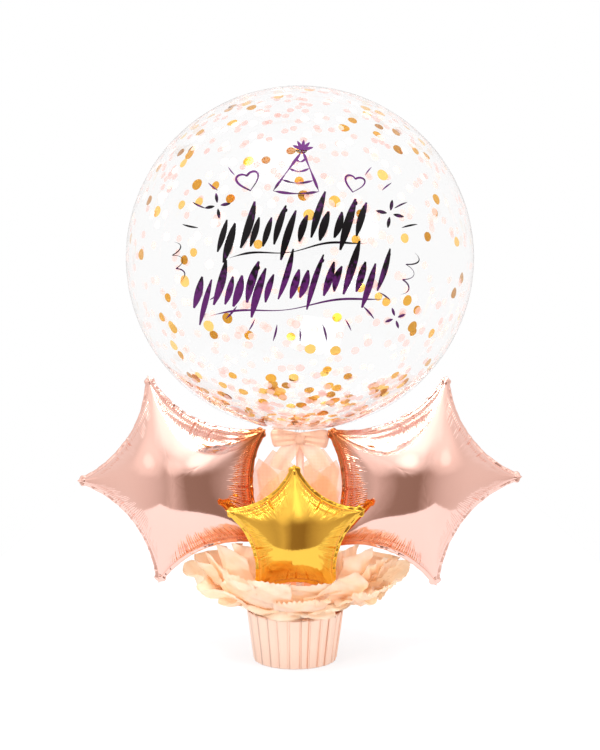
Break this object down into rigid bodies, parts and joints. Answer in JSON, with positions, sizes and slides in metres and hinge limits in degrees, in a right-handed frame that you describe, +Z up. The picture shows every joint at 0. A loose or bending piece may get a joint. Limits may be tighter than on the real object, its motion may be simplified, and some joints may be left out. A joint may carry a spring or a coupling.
{
  "type": "party balloon arrangement",
  "caption": "Clear confetti bubble balloon on a slim tube with a bow, flanked by foil star balloons, rising from tissue paper in a pleated foil pot.",
  "frame": {"origin": "middle of the pot's flat underside, on the surface that the arrangement stands on", "axes": "+Z up, -Y to the front where the small gold star stands, +X to the viewer's right"},
  "size_m": [0.7792, 0.594, 0.996],
  "materials": {
    "bubble_film": "thin clear stretch film with a high gloss",
    "rose_foil": "metallised polyester film, rose gold mirror gloss",
    "gold_foil": "metallised polyester film, gold mirror gloss",
    "foil_card": "card with a rose gold foil face, satin metallic, knife pleated",
    "tube_plastic": "milky pink extruded plastic tube",
    "organza_ribbon": "sheer peach organza ribbon with a soft sheen",
    "tissue_paper": "thin cream peach tissue paper with pinked edges, matte and translucent",
    "net": "fine peach net, sheer"
  },
  "bodies": {
    "root": {"pot": "foil_card", "stand_tube": "tube_plastic", "bubble_balloon": "bubble_film", "bow": "organza_ribbon", "star_left": "rose_foil", "star_right": "rose_foil", "star_front": "gold_foil", "net_left": "net", "net_right": "net", "tissue_left": "tissue_paper", "tissue_left_front": "tissue_paper", "tissue_front_left": "tissue_paper", "tissue_front_right": "tissue_paper", "tissue_right_front": "tissue_paper", "tissue_right": "tissue_paper", "tissue_back_right": "tissue_paper", "tissue_back_left": "tissue_paper"}
  },
  "joints": []
}
